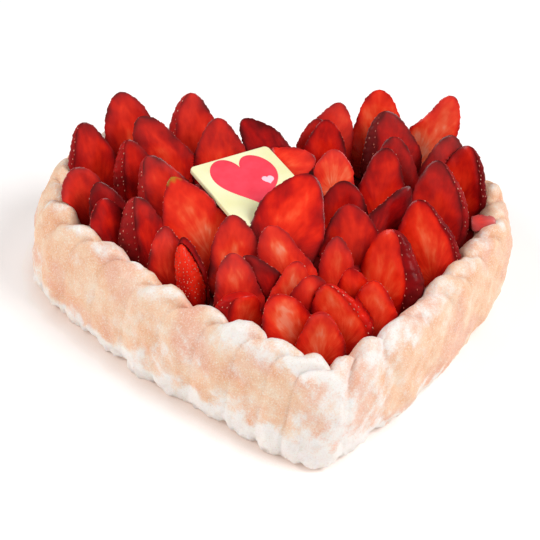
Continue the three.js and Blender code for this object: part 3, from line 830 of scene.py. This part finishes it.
# a heart, x = sin^3 t and y = 13 cos t - 4 cos 2t - 2 cos 3t - cos 4t, scaled, filled by rings to its
# middle and lifted a hair above the plaque
def heartPrint(name, h):
    steps = 96
    t = np.linspace(0, 2 * np.pi, steps, endpoint=False)
    y = 13 * np.cos(t) - 4 * np.cos(2 * t) - 2 * np.cos(3 * t) - np.cos(4 * t)
    edge = np.c_[np.sin(t) ** 3 * h["width"] / 2, y / 29 * h["height"] + h["height"] * 0.09]
    scales = np.array([1.0, 1.0, 0.985, 0.8, 0.5, 0.2])
    heights = np.array([printFoot, 0, *[h["lift"]] * 4])
    rings = raised(edge[None] * scales[:, None, None], heights[:, None, None])
    points = np.r_[rings.reshape(-1, 3), [[0, 0, h["lift"]]], [[0, 0, printFoot]]]
    q = math.radians(h["turn"])
    spin = np.array([[math.cos(q), math.sin(q), 0], [-math.sin(q), math.cos(q), 0], [0, 0, 1]])
    return stackFrom(name, onPlaque(points @ spin + [*h["centre"], 0]), len(scales), steps, turned=True)


prints = [heartPrint(name, h) for name, h in printed.items()]
print("plaque and prints made")


# one number that was set for each vertex
def attribute(material, name):
    return addNode(material, "Attribute", {"attribute_name": name}, output=2)


# soft noise in cells so many mm wide
def noise(material, where, size, detail, roughness=0.5):
    settings = {"Scale": 1 / (size * mm), "Detail": detail, "Roughness": roughness}
    return addNode(material, "TexNoise", settings, {0: where})


# a value carried from one range to another, eased at both ends where it says so
def carried(material, source, given, wanted, eased=False):
    settings = {1: given[0], 2: given[1], 3: wanted[0], 4: wanted[1]}
    if eased:
        settings["interpolation_type"] = "SMOOTHSTEP"
    return addNode(material, "MapRange", settings, {0: source})


# a colour laid over another by a share from 0 to 1
def laidOver(material, under, colour, amount):
    return addNode(material, "Mix", {"data_type": "RGBA", 7: linear(colour)}, {0: amount, 6: under}, output=2)


# a finish whose tone drifts in cells so many mm wide, with a bump of a strength and a height in mm
def mottled(name, size, detail, tones, settings, bump=None):
    mat = newMaterial(name)
    change = noise(mat, addNode(mat, "TexCoord", output=3), size, detail)
    links = {"Base Color": addNode(mat, "ValToRGB", links={0: change}, stops=tones)}
    if bump:
        relief = {"Strength": bump[0], "Distance": bump[1] * mm}
        links["Normal"] = addNode(mat, "Bump", relief, {"Height": change})
    shader = addNode(mat, "BsdfPrincipled", settings, links)
    addNode(mat, "OutputMaterial", links={0: shader})
    return mat


sponge = {
    "baked": [(0.30, "#fde2c9"), (0.70, "#f3b48f"), (0.46, "#fbd0ae"), (0.58, "#f7c29c")],
    "pink": "#f2b5a4",
    # the colour of the painted shade in the slits between fingers
    "crease": "#b97a60",
    "sugar": "#fffaf5",
    "pore": "#d9a68c",
    "crystal": "#fffdfa",
    "bakedSize": 14.29,
    "pinkSize": 26.32,
    "grainSize": 1.786,
    "crumbSize": 0.6667,  # as fine as the photograph's size shows
    "surface": {"Roughness": 0.95, "Specular IOR Level": 0.1, "Subsurface Weight": 0.2,
                "Subsurface Scale": 0.004, "Subsurface Radius": (1.0, 0.6, 0.4)},
}


# Sponge biscuit, baked pale and dusted: matt and peach coloured with pink patches, an open crumb with
# darker pores and bright crystals, and white powdered sugar where the sugar attribute, broken up by
# its grain, is high. Painted shade darkens the slits between fingers.
def spongeMaterial(look):
    mat = newMaterial("dustedSpongeBiscuit")
    where = addNode(mat, "TexCoord", output=3)
    sugar, crease = attribute(mat, "sugar"), attribute(mat, "crease")
    tone = noise(mat, where, look["bakedSize"], 4.0, 0.6)
    grain = noise(mat, where, look["grainSize"], 5.0, 0.8)
    crumb = noise(mat, where, look["crumbSize"], 3.0, 0.75)
    baked = addNode(mat, "ValToRGB", links={0: tone}, stops=look["baked"])
    patch = carried(mat, noise(mat, where, look["pinkSize"], 2.0), (0.46, 0.62), (0.0, 0.5), eased=True)
    blushed = laidOver(mat, baked, look["pink"], patch)
    # painted shade in the slits between fingers
    shaded = laidOver(mat, blushed, look["crease"], crease)
    amount = addNode(mat, "Math", {"operation": "MULTIPLY_ADD", 1: 0.95}, {0: grain, 2: sugar})
    white = carried(mat, amount, (0.40, 0.98), (0.0, 0.93), eased=True)
    dusted = laidOver(mat, shaded, look["sugar"], white)
    pitted = laidOver(mat, dusted, look["pore"], carried(mat, crumb, (0.54, 0.70), (0.0, 0.34)))
    colour = laidOver(mat, pitted, look["crystal"], carried(mat, crumb, (0.48, 0.34), (0.0, 0.6)))
    fine = addNode(mat, "Bump", {"Strength": 0.5, "Distance": 0.8 * mm}, {"Height": crumb})
    bump = addNode(mat, "Bump", {"Strength": 0.45, "Distance": 2.2 * mm}, {"Height": amount, "Normal": fine})
    shader = addNode(mat, "BsdfPrincipled", look["surface"], {"Base Color": colour, "Normal": bump})
    addNode(mat, "OutputMaterial", links={0: shader})
    return mat


strawberry = {
    # from unripe skin's wine red, as it looks under the glaze, to the palest core
    "red": [(0.0, "#5c0508"), (1.0, "#ff9878"), (0.10, "#74070b"), (0.20, "#8c090d"), (0.32, "#a80d0c"),
            (0.45, "#c8150c"), (0.58, "#e2240e"), (0.70, "#f23016"), (0.80, "#fa4a26"), (0.90, "#ff6c44")],
    # the colour of the painted sheen that stands for the glaze's reflection
    "paintedSheen": "#e47c78",
    "green": "#a89a2c",
    "cloudSize": 8.333,
    "cloud": 0.24,  # how much riper or less ripe it makes the flesh and the skin
    "streak": 0.10,  # the same, along the fibres of the flesh
    # painted shade: how much darker the fruit is painted deep between slices, and how far that reaches in mm
    "paintedCrowdShade": 0.34,  # how much darker it is deep between slices
    "paintedCrowdShadeReach": 10.0,
    "surface": {"Coat Weight": 0.06, "Coat Roughness": 0.08, "Subsurface Weight": 0.12,
                "Subsurface Scale": 0.003, "Subsurface Radius": (1.0, 0.15, 0.1)},
}


# Cut ripe strawberry under a clear fruit glaze: wet and glossy, wine red at the edge, bright red inside
# and orange or pale in the core, with soft clouds and streaks along its fibres. Painted shade darkens
# it deep between slices, and a painted sheen for the glaze's reflection lies towards the tips.
def strawberryMaterial(look):
    mat = newMaterial("glazedStrawberry")
    ripeness, unripe, paintedSheen, flesh = (attribute(mat, name) for name in ("ripeness", "unripe", "paintedSheen", "flesh"))
    fibres = addNode(mat, "UVMap", {"uv_map": "fibres"})
    where = addNode(mat, "TexCoord", output=3)
    # one cell for a fibre, whose size is in the map
    streak = addNode(mat, "TexNoise", {"Scale": 1.0, "Detail": 3.0, "Roughness": 0.55}, {0: fibres})
    cloud = noise(mat, where, look["cloudSize"], 2.0)
    streakShare = carried(mat, streak, (0.28, 0.72), (-look["streak"], look["streak"]))
    cloudShare = carried(mat, cloud, (0.0, 1.0), (-look["cloud"], look["cloud"]))
    inFlesh = addNode(mat, "Math", {"operation": "MULTIPLY_ADD"}, {0: streakShare, 1: flesh, 2: ripeness})
    clouded = addNode(mat, "Math", {"operation": "ADD"}, {0: inFlesh, 1: cloudShare})
    # painted shade: the fruit is coloured less ripe where other slices crowd close
    reach = {"Distance": look["paintedCrowdShadeReach"] * mm, "samples": 4}
    openness = addNode(mat, "AmbientOcclusion", reach, output=1)
    sunk = carried(mat, openness, (0.2, 0.9), (-look["paintedCrowdShade"], 0.0))
    total = addNode(mat, "Math", {"operation": "ADD"}, {0: clouded, 1: sunk})
    red = addNode(mat, "ValToRGB", links={0: total}, stops=look["red"])
    # painted sheen of the glaze's reflection laid over the red
    withPaintedSheen = laidOver(mat, red, look["paintedSheen"], paintedSheen)
    colour = laidOver(mat, withPaintedSheen, look["green"], unripe)
    bump = addNode(mat, "Bump", {"Strength": 0.3, "Distance": 0.5 * mm}, {"Height": streak})
    rough = carried(mat, flesh, (0.0, 1.0), (0.42, 0.22))
    shine = carried(mat, flesh, (0.0, 1.0), (0.07, 0.2))
    links = {"Base Color": colour, "Normal": bump, "Roughness": rough, "Specular IOR Level": shine}
    shader = addNode(mat, "BsdfPrincipled", look["surface"], links)
    addNode(mat, "OutputMaterial", links={0: shader})
    return mat


# Strawberry seeds: dry straw coloured beads under the same glaze, which makes them look pale pink;
# their pale pink also stands in for painted glints along the slices' edges.
def seedAndGlintMaterial():
    surface = {"Roughness": 0.3, "Specular IOR Level": 0.3, "Coat Weight": 0.3}
    return mottled("strawberrySeedAndPaintedGlint", 3.333, 1.0, [(0.35, "#b03c2e"), (0.65, "#e89a84")], surface)


# Set fruit jelly: dark red in uneven depths, with a wet shine.
def jellyMaterial():
    surface = {"Roughness": 0.12, "Specular IOR Level": 0.2, "Coat Weight": 0.1}
    return mottled("setFruitJelly", 14.29, 3.0, [(0.3, "#5c0406"), (0.7, "#9a0e0e")], surface, (0.3, 1.0))


# Moulded ivory chocolate: pale yellow, satin, faintly cloudy.
def chocolateMaterial():
    surface = {"Roughness": 0.38, "Specular IOR Level": 0.2, "Subsurface Weight": 0.15,
               "Subsurface Scale": 0.003, "Subsurface Radius": (1.0, 0.8, 0.4)}
    return mottled("ivoryChocolate", 16.67, 3.0, [(0.3, "#efecb6"), (0.7, "#f8f6cc")], surface, (0.12, 0.6))


# Food ink on cocoa butter, a thin satin film with slightly uneven colour.
def inkMaterial(name, low, high):
    surface = {"Roughness": 0.42, "Specular IOR Level": 0.2}
    return mottled(name, 5.556, 3.0, [(0.3, low), (0.7, high)], surface)


berryFinish = strawberryMaterial(strawberry)
finishes = [(spongeBand, spongeMaterial(sponge)), (jellyBed, jellyMaterial()), (seeds, seedAndGlintMaterial()),
            (chocolatePlaque, chocolateMaterial()),
            (prints[0], inkMaterial("redFoodInk", "#f23f52", "#fa4c60")),
            (prints[1], inkMaterial("palePinkFoodInk", "#f8c8d8", "#fcd8e4"))]
for piece, finish in finishes + [(made, berryFinish) for made, name in sliceObjects]:
    piece.data.materials.append(finish)
print("materials made")

# what stands for which solid
solids = [(spongeBand, "sponge_band", "sponge"), (jellyBed, "jelly_bed", "jelly"),
          (chocolatePlaque, "plaque", "ivory_chocolate")]
for piece, node, slot in solids:
    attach(piece, "root")
    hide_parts(node)
for made, name in sliceObjects:
    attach(made, "root")
    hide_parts(name)
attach(seeds, "root")
for piece in prints:
    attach(piece, "root")

# a white sheet that glows a little, as on a light table, and soft lamps
studio = {
    "sheet": "#fbf8f7",
    "sheetGlow": 0.13,
    "half": 6.0,  # metres, half the sheet's width
    "paintedShadow": "#e6d2c6",
    "paintedShadowReach": 13.0,
    "towardsLight": (0.62, 0.28, 0.73),
    "sky": 0.3,
    # degrees round and up, metres away, metres wide, watts
    "keyLight": (66, 50, 1.4, 0.9, 14.5),
    "fillLight": (-80, 40, 1.4, 0.9, 10),
}

floorMesh = bpy.data.meshes.new("floor")
corners = [(x * studio["half"], y * studio["half"], 0) for x, y in ((-1, -1), (1, -1), (1, 1), (-1, 1))]
floorMesh.from_pydata(corners, [], [(0, 1, 2, 3)])
floor = newObject("floor", floorMesh)
paper = newMaterial("whitePaper")
# painted shadow: the paper close to the cake is tinted a warm shade by ambient occlusion turned towards
# the light, so that it shows on the side away from the light
lightWay = addNode(paper, "CombineXYZ", dict(enumerate(studio["towardsLight"])))
reach = {"Distance": studio["paintedShadowReach"] * mm, "samples": 4}
skyShare = addNode(paper, "AmbientOcclusion", reach, {"Normal": lightWay}, output=1)
lit = carried(paper, skyShare, (0.1, 0.72), (0.0, 1.0), eased=True)
twoTones = {"data_type": "RGBA", 6: linear(studio["paintedShadow"]), 7: linear(studio["sheet"])}
tint = addNode(paper, "Mix", twoTones, {0: lit}, output=2)
surface = {"Roughness": 0.9, "Specular IOR Level": 0.0, "Emission Strength": studio["sheetGlow"]}
sheet = addNode(paper, "BsdfPrincipled", surface, {"Base Color": tint, "Emission Color": tint})
addNode(paper, "OutputMaterial", links={0: sheet})
floorMesh.materials.append(paper)

world = bpy.data.worlds.new("studio")
bpy.context.scene.world = world
world.use_nodes = True
sky = world.node_tree.nodes["Background"].inputs
sky[0].default_value, sky[1].default_value = (1.0, 1.0, 1.0, 1.0), studio["sky"]

for name in ("keyLight", "fillLight"):
    azimuth, elevation, distance, size, power = studio[name]
    a, e = math.radians(azimuth), math.radians(elevation)
    way = Vector((math.sin(a) * math.cos(e), -math.cos(a) * math.cos(e), math.sin(e)))
    lamp = bpy.data.lights.new(name, "AREA")
    lamp.shape, lamp.size, lamp.energy = "DISK", size, power
    made = newObject(name, lamp)
    made.matrix_world = Matrix.Translation(way * distance) @ way.to_track_quat("Z", "Y").to_matrix().to_4x4()

bpy.context.scene.view_settings.view_transform = "Standard"
bpy.context.scene.view_settings.look = "None"
